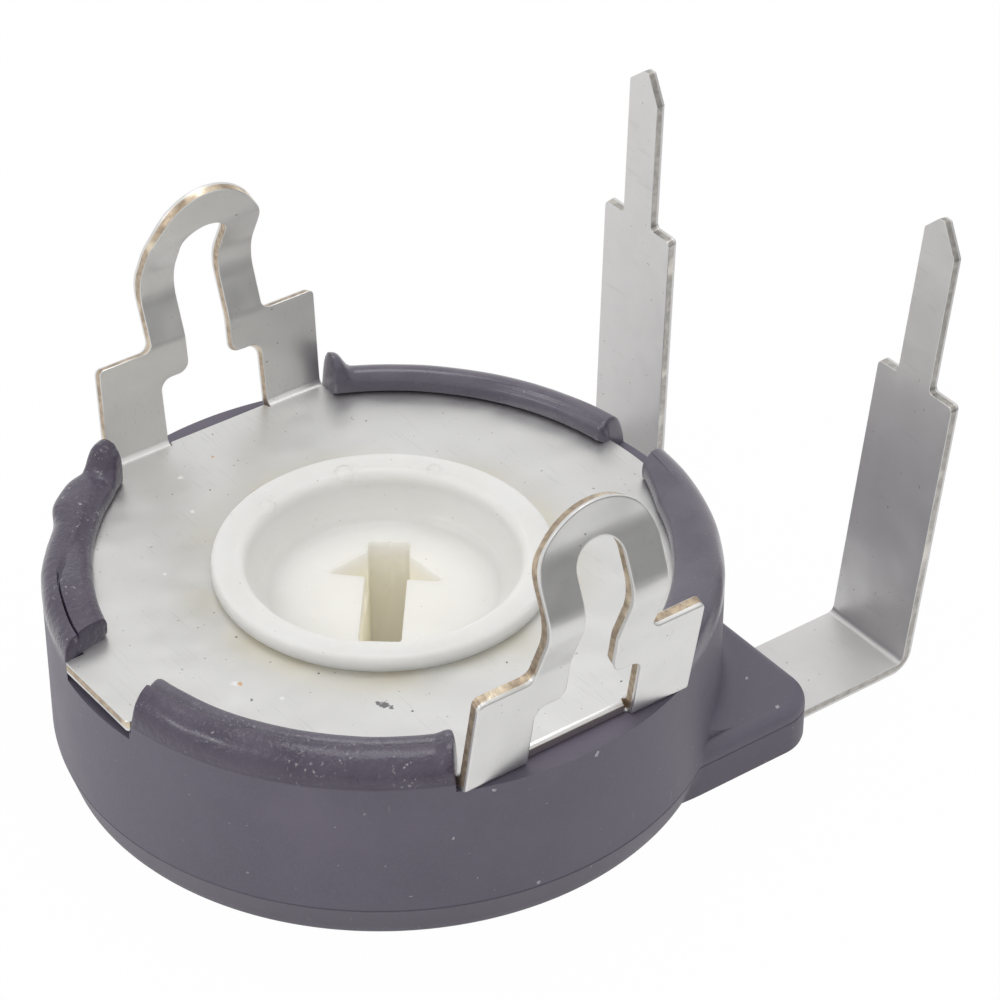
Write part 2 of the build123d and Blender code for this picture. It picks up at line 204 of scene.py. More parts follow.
cracked_fold = ((7.86, 0.10), (7.84, 0.10), (7.80, -0.02), (7.74, -0.05), (7.63, -0.07), (7.49, -0.08),
                (7.34, -0.07), (7.20, -0.05), (7.09, -0.01), (7.03, 0.06), (7.0, 0.16), (7.0, 0.36))
folds = ((grooved_fold, upright_fold, 26, 44), (smooth_fold, cracked_fold, 140, 154),
         (lipped_fold, lipped_fold, 0, 1), (smooth_fold, smooth_fold, 0, 1))
# Swellings left by the folding tool: angle, spread in degrees, how far out, how far up
swellings = (
    (116.2, 3.0, 0.0, 0.64), (126.5, 6.6, 0.27, 0.02), (66.0, 3.2, 0.0, 0.48), (152.0, 8.0, 0.03, 0.03),
    (193.0, 6.0, 0.0, 0.07), (212.0, 14.0, 0.02, 0.04), (246.0, 2.2, 0.0, 0.10), (310.0, 12.0, 0.02, 0.02),
    (30.0, 12.0, 0.02, -0.01),
)


def plan_radius(angle, inset):
    """How far the ear's outline lies from the axis in one direction, or 0 behind the axis."""
    across, up = math.cos(angle), abs(math.sin(angle))
    if across <= 0.3:
        return 0.0
    reach = min((ear_reach - inset) / across, (ear_side - inset) / up if up > 1e-6 else 1e9)
    corner_x, corner_y = ear_reach - ear_corner, ear_side - ear_corner
    if reach * across > corner_x and reach * up > corner_y:
        along = corner_x * across + corner_y * up
        spare = along ** 2 - corner_x ** 2 - corner_y ** 2 + (ear_corner - inset) ** 2
        reach = along + math.sqrt(max(spare, 0.0))
    return reach


def claw_at(turned):
    """The claw at an angle, how far it has risen and folded there, and its number."""
    for number, claw in enumerate(claws):
        depth = min(turned - claw[0], claw[2] - turned) * math.radians(1) * wall_radius
        if depth > 0:
            rise = math.sqrt(1 - (1 - min(depth / 0.12, 1)) ** 2)
            fold = math.sqrt(1 - (1 - min(depth / 0.2, 1)) ** 2)
            return number, rise, fold
    return 0, 0.0, 0.0


def leaned(turned, radius):
    """An angle moved so that a claw's end runs from its place at the wall to its place at the tip."""
    moved = turned
    for claw in claws:
        for wall_end, tip_end in ((claw[0], claw[1]), (claw[2], claw[3])):
            near = max(0.0, 1 - abs(turned - wall_end) / 14.0)
            moved += (tip_end - wall_end) * near ** 2 * min(max((wall_radius - radius) / 1.2, 0), 1)
    return moved


def housing_section(turned):
    """The closed half section of the housing at one angle, as radius and height in mm."""
    angle = math.radians(turned)
    notch = abs(turned - 180) < notch_angle
    number, rise, fold = claw_at(turned)
    crest, crest_radius, fullness, tips = claws[number][4:]
    ledge = rim - 0.2 if notch else rim
    outline = plan_radius(angle, 0)

    def wall(z):
        return max(wall_radius - foot_inset * max(0.0, 1 - z / seam), outline)

    foot = wall(0.0)
    rows = [(bore, 0), (3.4, 0), (5.2, 0), (7.0, 0), (foot - 0.1, 0), (foot - 0.02, 0.03), (wall(0.1), 0.1)]
    rows += [(wall(z), z) for z in (0.3, 0.55, 0.8, 0.895)]
    rows += [(wall(seam) - 0.03, seam - 0.015), (wall(seam) - 0.03, seam + 0.005)]
    rows += [(wall(seam + 0.03), seam + 0.025), (wall(floor_top), floor_top)]
    for step in range(1, 7):
        turn = math.radians(15 * step)
        inset = ear_edge * (1 - math.cos(turn))
        rows.append((max(wall_radius, plan_radius(angle, inset)), floor_top + ear_edge * math.sin(turn)))
    edge = max(wall_radius, plan_radius(angle, ear_edge))
    start = math.asin(min(max((wall_radius + ear_root - edge) / ear_root, 0), 1))
    for step in range(8):
        turn = start + (math.pi / 2 - start) * step / 7
        rows.append((wall_radius + ear_root * (1 - math.sin(turn)),
                     ear_height + ear_root * (1 - math.cos(turn))))
    shoulder = ledge + rise * (claw_shoulder - ledge)
    rows += [(wall_radius, 1.85 + (shoulder - 1.85) * k / 9) for k in range(1, 10)]
    top = ledge + rise * (crest - ledge)
    out = up = 0.0
    for centre, width, push, lift in swellings:
        weight = math.exp(-((turned - centre) / width) ** 4)
        out, up = out + push * weight, up + lift * weight
    crest_at = claw_root + fold * (crest_radius - claw_root)
    for step in range(1, 15):
        turn = math.pi / 2 * step / 14
        outward = math.cos(turn) ** (2 / fullness)
        upward = math.sin(turn) ** (2 / fullness)
        rows.append((crest_at + (wall_radius - crest_at) * outward + out * rise * math.sin(2 * turn),
                     shoulder + (top - shoulder) * upward + up * rise * min(upward * 1.7, 1)))
    first, second, change_start, change_end = folds[number]
    change = min(max((turned - change_start) / (change_end - change_start), 0), 1)
    tip = np.interp(turned, [place for place, _ in tips], [reach for _, reach in tips])
    for (radius_1, drop_1), (radius_2, drop_2) in zip(first, second):
        radius = radius_1 + (radius_2 - radius_1) * change
        radius = claw_root - (claw_root - radius) * (claw_root - tip) / (claw_root - 7.0)
        drop = drop_1 + (drop_2 - drop_1) * change
        height = top - drop * rise + up * rise * (1 - drop * 1.6)
        rows.append((claw_root + fold * (radius - claw_root), height))
    for radius, height in ((tip + 0.01, lip_level + 0.07), (tip + 0.05, lip_level + 0.02),
                           (tip + 0.12, lip_level), (claw_root, lip_level)):
        rows.append((claw_root + fold * (radius - claw_root), ledge + rise * (height - ledge)))
    inner = stop_radius if turned < stop_angle or turned > 360 - stop_angle else cup_radius
    rows += [(claw_root, ledge), (cup_radius, ledge), (cup_radius, stop_top if inner < 7 else ledge - 0.1)]
    rows += [(inner, stop_top if inner < 7 else ledge - 0.15), (inner, 2.6), (inner, floor_top)]
    rows += [(4.4, floor_top), (bore, floor_top), (bore, 0.5)]
    return rows


def polar_shell(name, angles, section, bend=None):
    """A closed ring-shaped mesh through the sections at each angle, which a bend may move."""
    grid = np.array([section(a) for a in angles])
    count, rows = grid.shape[:2]
    turn = np.array(angles)[:, None] + 0 * grid[:, :, 0]
    if bend is not None:
        turn = np.vectorize(bend)(turn, grid[:, :, 0])
    turn = np.radians(turn)
    points = np.stack([grid[:, :, 0] * np.cos(turn), grid[:, :, 0] * np.sin(turn), grid[:, :, 1]], 2)
    i, j = np.meshgrid(np.arange(count), np.arange(rows), indexing="ij")
    a, b = i * rows + j, i * rows + (j + 1) % rows
    c, d = ((i + 1) % count) * rows + (j + 1) % rows, ((i + 1) % count) * rows + j
    faces = np.stack([a, d, c, b], 2).reshape(-1, 4)
    mesh = bpy.data.meshes.new(name)
    mesh.from_pydata((points.reshape(-1, 3) * mm).tolist(), [], faces.tolist())
    return mesh


def add_piece(name, mesh, materials):
    """A piece at the origin with its finishes."""
    piece = bpy.data.objects.new(name, mesh)
    bpy.context.scene.collection.objects.link(piece)
    for material in materials:
        mesh.materials.append(material)
    return piece


def weld(mesh, distance=2e-7):
    """Joins the points that lie on each other and points all faces outwards."""
    shell = bmesh.new()
    shell.from_mesh(mesh)
    bmesh.ops.remove_doubles(shell, verts=shell.verts, dist=distance)
    bmesh.ops.dissolve_degenerate(shell, edges=shell.edges, dist=distance)
    bmesh.ops.recalc_face_normals(shell, faces=shell.faces)
    shell.to_mesh(mesh)
    shell.free()


def combine(piece, operation, meshes):
    """Cuts closed meshes out of a piece or joins them to it, and applies the result to its mesh."""
    tools = []
    for mesh in meshes:
        tool = bpy.data.objects.new("tool", mesh)
        bpy.context.scene.collection.objects.link(tool)
        tools.append(tool)
        step = piece.modifiers.new("tool", "BOOLEAN")
        step.operation = operation
        step.solver = "EXACT"
        step.object = tool
    apply_modifiers(piece)
    for tool in tools:
        bpy.data.objects.remove(tool)


def apply_modifiers(piece):
    """Turns a piece's modifiers into plain mesh."""
    bpy.context.view_layer.update()
    graph = bpy.context.evaluated_depsgraph_get()
    mesh = bpy.data.meshes.new_from_object(piece.evaluated_get(graph))
    piece.modifiers.clear()
    piece.data = mesh


def smooth_shading(mesh, sharp_above=32.0):
    """Smooth shading that stays crisp at edges steeper than the angle."""
    mesh.shade_smooth()
    mesh.set_sharp_from_angle(angle=math.radians(sharp_above))


def prism(corners, low, high):
    """A closed upright prism between two heights, in mm, for cutting."""
    shell = bmesh.new()
    base = [shell.verts.new((x * mm, y * mm, low * mm)) for x, y in corners]
    lid = [shell.verts.new((x * mm, y * mm, high * mm)) for x, y in corners]
    shell.faces.new(base[::-1])
    shell.faces.new(lid)
    for k in range(len(corners)):
        shell.faces.new((base[k - 1], base[k], lid[k], lid[k - 1]))
    bmesh.ops.recalc_face_normals(shell, faces=shell.faces)
    mesh = bpy.data.meshes.new("tool")
    shell.to_mesh(mesh)
    shell.free()
    return mesh


def ring_of(radius, count, x=0.0, y=0.0):
    """Points on a circle, anticlockwise."""
    return [(x + radius * math.cos(2 * math.pi * k / count), y + radius * math.sin(2 * math.pi * k / count))
            for k in range(count)]


# The housing is one section swept round, closer together where something starts or ends.
angles = set(np.round(np.arange(0, 360, 0.75), 3).tolist())
for claw in claws:
    for step in (-0.02, 0.01, 0.03, 0.1, 0.2, 0.35, 0.55, 0.8, 1.1, 1.4, 1.8, 2.2, 2.6, 3.0):
        angles |= {round(claw[0] + step, 3), round(claw[2] - step, 3)}
for edge in (180 - notch_angle, 180 + notch_angle, stop_angle, 360 - stop_angle):
    angles |= {round(edge - 0.01, 3), round(edge + 0.01, 3)}
angles |= set(np.round(np.arange(34, 49, 0.3), 3).tolist())
angles |= set(np.round(np.arange(311, 326, 0.3), 3).tolist())
housing_mesh = polar_shell("housing", sorted(angles), housing_section, leaned)
weld(housing_mesh)

eyelet_x, eyelet_y, eyelet_hole = 4.192, 4.5, 0.44
terminal_y, channel_half, channel_end, channel_top = 5.0, 1.37, 3.422, 0.36
cutters = []
for side in (1, -1):
    low_y, high_y = side * terminal_y - channel_half, side * terminal_y + channel_half
    cutters.append(prism(((channel_end, low_y), (14, low_y), (14, high_y), (channel_end, high_y)),
                         -1.0, channel_top))
    cutters.append(prism(ring_of(eyelet_hole, 48, eyelet_x, side * eyelet_y), 0.1, 2.0))


def new_finish(name):
    """A material with its nodes, its shader and the coordinates of the piece that it is on."""
    material = bpy.data.materials.new(name)
    material.use_nodes = True
    tree = material.node_tree
    return material, tree, tree.nodes["Principled BSDF"], node(tree, "ShaderNodeTexCoord").outputs["Object"]


housing_plastic, tree, shader, where = new_finish("housing_plastic")
housing = add_piece("housing_shell", housing_mesh, [housing_plastic])
combine(housing, "DIFFERENCE", cutters)

# The folding tool left the claws uneven, and the moulded wall is very slightly wavy.
for vertex in housing.data.vertices:
    x, y, z = vertex.co / mm
    radius = math.hypot(x, y)
    if radius > 7.0 and z > 1.9 and not (z < 4.7 and radius < 8.0):
        outward = Vector((x / radius, y / radius, 0))
        place = Vector((x, y, z))
        wave = noise.noise(place * 0.45 + Vector((3, 7, 1))) * 0.006 - 0.004
        turned = math.degrees(math.atan2(y, x)) % 360
        rough_claw = 1.0 if 100 < turned < 260 else 0.35
        on_claw = min(max((z - 4.5) / 0.3, 0), 1) * rough_claw
        lumps = noise.noise(place * 1.1 + Vector((11, 2, 5))) * 0.016 * on_claw
        crumbs = noise.noise(place * 3.6 + Vector((1, 9, 4))) * 0.004 * on_claw
        rising = min(max((radius - 7.3) / 0.3, 0), 1)
        vertex.co += (outward * (wave + lumps + crumbs)
                      + Vector((0, 0, 1)) * (lumps + crumbs) * 0.7 * rising) * mm
smooth_shading(housing.data, 38)


def mix_colours(tree, share, first, second):
    """Two colours mixed by a share."""
    made = node(tree, "ShaderNodeMix", {"data_type": "RGBA"}, i0=share, i6=first, i7=second)
    return made.outputs[2]


def grain(tree, where, size, detail=2.0, low=0.0, high=1.0, **more):
    """Noise with features of about the size given in mm, eased between two levels."""
    pattern = node(tree, "ShaderNodeTexNoise", Vector=where, Scale=1000.0 / size, Detail=detail, **more)
    return spread(tree, pattern.outputs[0], low, high)


def bump(tree, height, depth, under=None):
    """A bump of a depth in mm, laid over another one."""
    made = node(tree, "ShaderNodeBump", Height=height, Distance=depth * mm, Strength=1.0)
    if under is not None:
        tree.links.new(under, made.inputs["Normal"])
    return made.outputs[0]


def stretched(tree, where, scale, turn=0.0, shift=(0, 0, 0)):
    """Coordinates turned about Z and stretched, for drawn-out marks."""
    return node(tree, "ShaderNodeMapping", Vector=where, Scale=scale, Rotation=(0, 0, turn),
                Location=shift).outputs[0]


def spots(tree, where, ragged, places):
    """Small ragged marks: each place in mm with its radius, as one mask."""
    pattern = node(tree, "ShaderNodeTexNoise", Vector=where, Scale=1000.0 / ragged, Detail=2.0)
    torn = vector_step(tree, "SUBTRACT", pattern.outputs["Color"], (0.5, 0.5, 0.5))
    moved = node(tree, "ShaderNodeVectorMath", {"operation": "MULTIPLY_ADD"}, i0=torn,
                 i1=(ragged * 1.6 * mm,) * 3, i2=where).outputs[0]
    masks = []
    for x, y, z, radius in places:
        away = vector_step(tree, "DISTANCE", moved, (x * mm, y * mm, z * mm), "Value")
        masks.append(spread(tree, away, radius * mm, radius * 0.7 * mm))
    return most(tree, *masks)


def from_axis(tree, parts):
    """The distance from the Z axis, from separated coordinates."""
    flat = node(tree, "ShaderNodeCombineXYZ", X=parts.outputs["X"], Y=parts.outputs["Y"])
    return vector_step(tree, "LENGTH", flat.outputs[0], (0, 0, 0), "Value")


# The plastic: violet-grey with a very fine grain, a few pale flecks and scuffs, darker below the
# mould's parting line, and dark, smooth and glossy where the claws were softened. The two claws
# on the left were torn a little: they have rows of pale crumbs.
parts = node(tree, "ShaderNodeSeparateXYZ", Vector=where)
height = parts.outputs["Z"]
softened = spread(tree, height, 4.46 * mm, 4.72 * mm)
cloud = grain(tree, where, 2.6, 4.0, 0.3, 0.7)
filler = grain(tree, where, 0.07, 2.0, 0.35, 0.75)
tone = mix_colours(tree, cloud, (0.105, 0.092, 0.128, 1), (0.128, 0.113, 0.152, 1))
tone = mix_colours(tree, times(tree, filler, 0.18), tone, (0.165, 0.148, 0.192, 1))
smeared = grain(tree, where, 1.1, 3.0, 0.3, 0.7)
claw_tone = mix_colours(tree, smeared, (0.082, 0.070, 0.102, 1), (0.108, 0.095, 0.128, 1))
tone = mix_colours(tree, softened, tone, claw_tone)
on_left = spread(tree, parts.outputs["X"], 0.5 * mm, -1.0 * mm)
past_crease = most(tree, spread(tree, from_axis(tree, parts), 7.38 * mm, 7.44 * mm),
                   spread(tree, parts.outputs["Y"], -0.5 * mm, 0.5 * mm))
scorched = times(tree, spread(tree, height, 4.52 * mm, 4.60 * mm), on_left, past_crease)
scorched_tone = mix_colours(tree, smeared, (0.046, 0.033, 0.062, 1), (0.066, 0.051, 0.084, 1))
tone = mix_colours(tree, scorched, tone, scorched_tone)
below = spread(tree, height, (seam + 0.02) * mm, (seam - 0.03) * mm)
tone = mix_colours(tree, times(tree, below, 0.3), tone, (0.068, 0.060, 0.082, 1))
long_marks = grain(tree, stretched(tree, where, (1.0, 1.0, 0.16)), 0.12, 2.0, 0.69, 0.74)
scuffs = times(tree, long_marks, grain(tree, where, 2.1, 2.0, 0.55, 0.65))
flecks = grain(tree, where, 0.14, 1.0, 0.785, 0.80)
torn = times(tree, grain(tree, where, 0.11, 3.0, 0.62, 0.68), softened, on_left,
             grain(tree, where, 1.2, 2.0, 0.5, 0.62))
crumb_places = (
    (-2.48, -7.87, 4.21, 0.055), (0.17, -8.25, 4.21, 0.075), (-1.39, -8.13, 1.05, 0.06),
    (-3.37, -7.53, 3.0, 0.05), (5.56, -6.10, 0.8, 0.09), (4.78, -6.72, 0.8, 0.10),
    (4.49, -6.92, 1.1, 0.06), (7.05, -5.43, 1.35, 0.06), (6.94, -6.74, 1.35, 0.07),
    (4.94, -7.05, 1.35, 0.06), (-4.93, 5.93, 5.2, 0.05), (-3.20, 7.10, 5.5, 0.06),
)
crumbs = spots(tree, where, 0.09, crumb_places)
pale = most(tree, times(tree, scuffs, 0.12), times(tree, flecks, 0.45), times(tree, torn, 0.55),
            times(tree, crumbs, 0.8))
tone = mix_colours(tree, pale, tone, (0.47, 0.45, 0.48, 1))
satin = spread(tree, cloud, 0.0, 1.0, 0.44, 0.52)
melted = spread(tree, smeared, 0.0, 1.0, 0.22, 0.36)
gloss = node(tree, "ShaderNodeMix", {"data_type": "FLOAT"}, i0=softened, i2=satin, i3=melted).outputs[0]
relief = bump(tree, filler, 0.002)
relief = bump(tree, grain(tree, where, 0.6, 3.0), 0.006, relief)
pitted = times(tree, grain(tree, where, 0.16, 3.0, 0.3, 0.7), times(tree, softened, on_left, 0.8))
relief = bump(tree, pitted, 0.018, relief)
relief = bump(tree, pale, 0.02, relief)
feed(tree, shader, Base_Color=tone, Roughness=gloss, Normal=relief,
     Coat_Weight=times(tree, softened, 0.45), Coat_Roughness=0.22)
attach(housing, "base")
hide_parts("housing")

# Cover plate: tinned steel sheet, stamped in one piece with a round hole, a tab on the left and
# two snap lugs that are bent up, kinked outwards and brought back in so that they spring into
# the board's holes. The press rolled its lower edge and left a torn golden edge without tin.
plate_radius = 7.75
sheet = 0.3
plate_hole = 3.75
tab_reach, tab_half = 8.15, 1.4


def arc(centre_x, centre_y, radius, start, end, count):
    """Points along an arc between two angles in degrees."""
    turns = np.radians(np.linspace(start, end, count))
    return [(centre_x + radius * math.cos(t), centre_y + radius * math.sin(t)) for t in turns]


def soften(points, radii, steps=6):
    """A closed outline whose corners are rounded by the radius given for each point."""
    count, loop = len(points), []
    for k in range(count):
        before, here, after = (Vector(points[(k + d) % count]) for d in (-1, 0, 1))
        if not radii[k]:
            loop.append(tuple(here))
            continue
        back, on = (before - here).normalized(), (after - here).normalized()
        half = back.angle(on) / 2
        centre = here + (back + on).normalized() * radii[k] / math.sin(half)
        first = here + back * radii[k] / math.tan(half) - centre
        last = here + on * radii[k] / math.tan(half) - centre
        for step in range(steps + 1):
            loop.append(tuple(centre + (first.lerp(last, step / steps)).normalized() * radii[k]))
    return loop


def evenly(points, spacing):
    """The same outline with points added along its long edges."""
    loop = []
    for k, point in enumerate(points):
        here, after = np.array(point), np.array(points[(k + 1) % len(points)])
        pieces = max(1, int(np.linalg.norm(after - here) / spacing))
        loop += [tuple(here + (after - here) * j / pieces) for j in range(pieces)]
    return loop


def stamped(loops, thickness, roll, burr):
    """A flat stamping with rolled lower edges and a torn band above them, which is its second
    material. The first loop is its outline, the rest are holes."""
    rings = [(roll * 1.4, 0.0)]
    for turn in np.radians(range(0, 91, 18)):
        rings.append((roll * (1 - math.sin(turn)), roll * 0.8 * (1 - math.cos(turn))))
    rings += [(0.0, thickness * 0.34), (0.0, thickness - burr), (burr, thickness), (burr + 0.02, thickness)]
    torn_band = len(rings) - 4
    shell = bmesh.new()
    flat = [[], []]
    lids = [[], []]
    for number, loop in enumerate(loops):
        points = np.array(loop)
        following = np.roll(points, -1, 0)
        turning = np.sum(points[:, 0] * following[:, 1] - following[:, 0] * points[:, 1])
        if (turning > 0) != (number == 0):
            points = points[::-1]
            following = np.roll(points, -1, 0)
        ahead = following - points
        ahead /= np.linalg.norm(ahead, axis=1)[:, None]
        left = np.stack([-ahead[:, 1], ahead[:, 0]], 1)
        left_before = np.roll(left, 1, 0)
        mitre = (left + left_before) / (1 + np.sum(left * left_before, 1))[:, None]
        rows = []
        for inset, level in rings:
            rows.append([shell.verts.new((x, y, level)) for x, y in points + mitre * inset])
        for k in range(len(rings) - 1):
            for n in range(len(points)):
                face = shell.faces.new((rows[k][n - 1], rows[k][n], rows[k + 1][n], rows[k + 1][n - 1]))
                face.material_index = 1 if k == torn_band else 0
        for side, row in ((0, rows[0]), (1, rows[-1])):
            flat[side].append([v.co.copy() for v in row])
            lids[side] += row
    for side in (0, 1):
        for triangle in tessellate_polygon(flat[side]):
            shell.faces.new([lids[side][n] for n in triangle])
    bmesh.ops.recalc_face_normals(shell, faces=shell.faces)
    return shell


def fold_guide(path, radii, thickness, steps=10):
    """Matched points along both faces of a folded sheet: length along it, outer and inner face."""
    outer = np.array(path, float)
    ahead = np.diff(outer, axis=0)
    lengths = np.linalg.norm(ahead, axis=1)
    ahead /= lengths[:, None]
    left = np.stack([-ahead[:, 1], ahead[:, 0]], 1)
    inner = outer.copy()
    inner[0] += left[0] * thickness
    inner[-1] += left[-1] * thickness
    for k in range(1, len(outer) - 1):
        inner[k] += thickness * (left[k - 1] + left[k]) / (1 + np.dot(left[k - 1], left[k]))
    reached = np.concatenate([[0], np.cumsum(lengths)])
    along, faces = [reached[0]], [[outer[0]], [inner[0]]]
    for k in range(1, len(outer) - 1):
        turn = math.atan2(ahead[k - 1][0] * ahead[k][1] - ahead[k - 1][1] * ahead[k][0],
                          np.dot(ahead[k - 1], ahead[k]))
        tangent = math.tan(abs(turn) / 2)
        reach = radii[k - 1][0] * tangent
        along += np.linspace(reached[k] - reach, reached[k] + reach, steps + 1).tolist()
        for face, corner, radius in zip(faces, (outer[k], inner[k]), radii[k - 1]):
            start = corner - ahead[k - 1] * radius * tangent
            normal = left[k - 1] * math.copysign(1, turn)
            centre = start + normal * radius
            for step in range(steps + 1):
                angle = turn * step / steps
                spoke = -normal * radius
                face.append(centre + np.array([spoke[0] * math.cos(angle) - spoke[1] * math.sin(angle),
                                               spoke[0] * math.sin(angle) + spoke[1] * math.cos(angle)]))
    along.append(reached[-1])
    for face, corner in zip(faces, (outer[-1], inner[-1])):
        face.append(corner)
    return np.array(along), np.array(faces[0]), np.array(faces[1])


def fold(guide, along, share):
    """Where a point of the flat sheet goes: its place along the guide, across the thickness."""
    lengths, outer, inner = guide
    return [np.interp(along, lengths, outer[:, n]) * (1 - share)
            + np.interp(along, lengths, inner[:, n]) * share for n in (0, 1)]


def score(shell, faces, place, across):
    """Cuts faces of a flat sheet along a straight line, so that it can bend there."""
    parts = [e for f in faces for e in f.edges] + faces + [v for f in faces for v in f.verts]
    bmesh.ops.bisect_plane(shell, geom=list(dict.fromkeys(parts)), plane_co=place, plane_no=across, dist=1e-6)


def folded_mesh(name, shell):
    """The finished mesh of a folded sheet."""
    bmesh.ops.triangulate(shell, faces=[f for f in shell.faces if len(f.verts) > 4])
    bmesh.ops.recalc_face_normals(shell, faces=shell.faces)
    mesh = bpy.data.meshes.new(name)
    shell.to_mesh(mesh)
    shell.free()
    smooth_shading(mesh, 30)
    return mesh


# Each lug: its side, the fold path of its outer face, shoulder, window and arch heights along
# the sheet, arch and slot half widths, and how far it sits and leans sideways. The strip between
# its feet stays flat, ends short of them and droops a little at its edge.
guide_start = 6.9
lugs = (
    (1, ((8.175, 7.26), (8.78, 8.84), (8.02, 10.5), (7.86, 12.3)),
     2.85, 1.885, 5.77, 1.65, 0.65, 0.085, 0.024),
    (-1, ((8.26, 7.27), (8.87, 8.80), (8.22, 10.41), (8.12, 12.3)),
     2.82, 1.84, 5.67, 1.66, 0.67, 0.056, -0.003),
)
bend_radii = ((0.14, 0.2), (1.3, 1.0), (1.1, 1.4), (1.7, 1.4))
foot_half, window_half, window_start = 3.2, 1.5, 7.57
strip_blend, strip_from, strip_to = 0.1, guide_start - 0.5, 8.2
droop_from, droop = 7.44, 0.055
roll, burr = 0.05, 0.018
outline, windows, guides = [], [], {}
foot_angle = math.degrees(math.acos(foot_half / plate_radius))
tab_angle = math.degrees(math.asin(tab_half / plate_radius))
for side, path, shoulder, window, arch, arch_half, slot_half, aside, lean in lugs:
    up = plate_radius
    right = [(foot_half + aside, up + shoulder), (arch_half + aside, up + shoulder)]
    corners = soften([(foot_half + aside, up)] + right + [(arch_half + aside, up + arch)], [0, 0.16, 0.25, 0])
    top = arc(aside, up + arch, arch_half, 0, 180, 40)
    left = soften([(-arch_half + aside, up + arch), (-arch_half + aside, up + shoulder),
                   (-foot_half + aside, up + shoulder), (-foot_half + aside, up)], [0, 0.25, 0.16, 0])
    lug = corners[1:-1] + top + left[1:-1]
    half_hole = [(window_half, window_start), (window_half, up + window), (slot_half, up + window)]
    hole = [(x + aside, y) for x, y in half_hole] + arc(aside, up + arch, slot_half, 0, 180, 24)
    hole += [(aside - x, y) for x, y in half_hole[::-1]]
    hole = soften(hole, [0.1, 0.32, 0.3] + [0] * 24 + [0.3, 0.32, 0.1])
    if side < 0:
        lug = [(x, -y) for x, y in lug[::-1]]
        hole = [(x, -y) for x, y in hole]
    guide = fold_guide(((guide_start, rim), (plate_radius, rim)) + path, bend_radii, sheet)
    guides[side] = (guide, lean, aside)
    windows.append(evenly(hole, 0.12))
    if side > 0:
        outline += arc(0, 0, plate_radius, 0.0, foot_angle, 60) + lug
        outline += arc(0, 0, plate_radius, 180 - foot_angle, 180 - tab_angle, 54)
        outline += soften([(-plate_radius, tab_half), (-tab_reach, tab_half), (-tab_reach, -tab_half),
                           (-plate_radius, -tab_half)], [0, 0.12, 0.12, 0])[1:-1]
    else:
        outline += arc(0, 0, plate_radius, 180 + tab_angle, 180 + foot_angle, 54) + lug
        outline += arc(0, 0, plate_radius, 360 - foot_angle, 360, 60)[:-1]
shell = stamped([evenly(outline, 0.12), ring_of(plate_hole, 160)] + windows, sheet, roll, burr)


def faces_out_to(side, low, high):
    """The faces on one side of the plate whose outer end lies between two distances."""
    return [f for f in shell.faces if low < max(v.co.y * side for v in f.verts) < high]


for side in (1, -1):
    for length in guides[side][0][0][1:-1]:
        faces = faces_out_to(side, guide_start, math.inf)
        score(shell, faces, (0, (guide_start + length) * side, 0), (0, 1, 0))
    for offset in (-window_half, strip_blend - window_half, window_half - strip_blend, window_half):
        score(shell, faces_out_to(side, strip_from, strip_to), (guides[side][2] + offset, 0, 0), (1, 0, 0))
    for distance in (droop_from, droop_from + 0.035, droop_from + 0.065):
        score(shell, faces_out_to(side, strip_from, strip_to), (0, distance * side, 0), (0, 1, 0))
for vertex in shell.verts:
    x, y, level = vertex.co
    side = 1 if y > 0 else -1
    guide, lean, aside = guides[side]
    if abs(y) > guide_start and abs(x) < foot_half + 0.2:
        out, up = fold(guide, abs(y) - guide_start, level / sheet)
        flat = min(max((window_half - abs(x - aside)) / strip_blend, 0), 1)
        if abs(y) > window_start + 0.2:
            flat = 0
        out, up = out + (abs(y) - out) * flat, up + (rim + level - up) * flat
        edge = max(abs(y) - droop_from, 0) / (window_start - droop_from)
        up -= droop * level / sheet * flat * edge ** 2
        vertex.co = ((x + lean * max(up - rim - sheet, 0)) * mm, out * side * mm, up * mm)
    else:
        vertex.co = (x * mm, y * mm, (rim + level) * mm)
plate_mesh = folded_mesh("cover_sheet", shell)

# Painted shade: the sheet's edge under each lug's window is coloured dark and made not metallic, in place of
# the shadow and dark reflection that fall there.
window_edge_shade_tone = (0.165, 0.143, 0.16, 1)


def window_edge_shade(tree, where):
    """The sheet's edge under each lug's window, where it lies against the wall: the mask for painted shade
    there.
    """
    parts = node(tree, "ShaderNodeSeparateXYZ", Vector=where)
    aside = [node(tree, "ShaderNodeMath", {"operation": "ABSOLUTE"}, i0=parts.outputs[axis]).outputs[0]
             for axis in ("X", "Y")]
    return times(tree, spread(tree, aside[0], 1.49 * mm, 1.45 * mm),
                 spread(tree, aside[1], 7.48 * mm, 7.54 * mm),
                 spread(tree, parts.outputs["Z"], 4.56 * mm, 4.54 * mm))


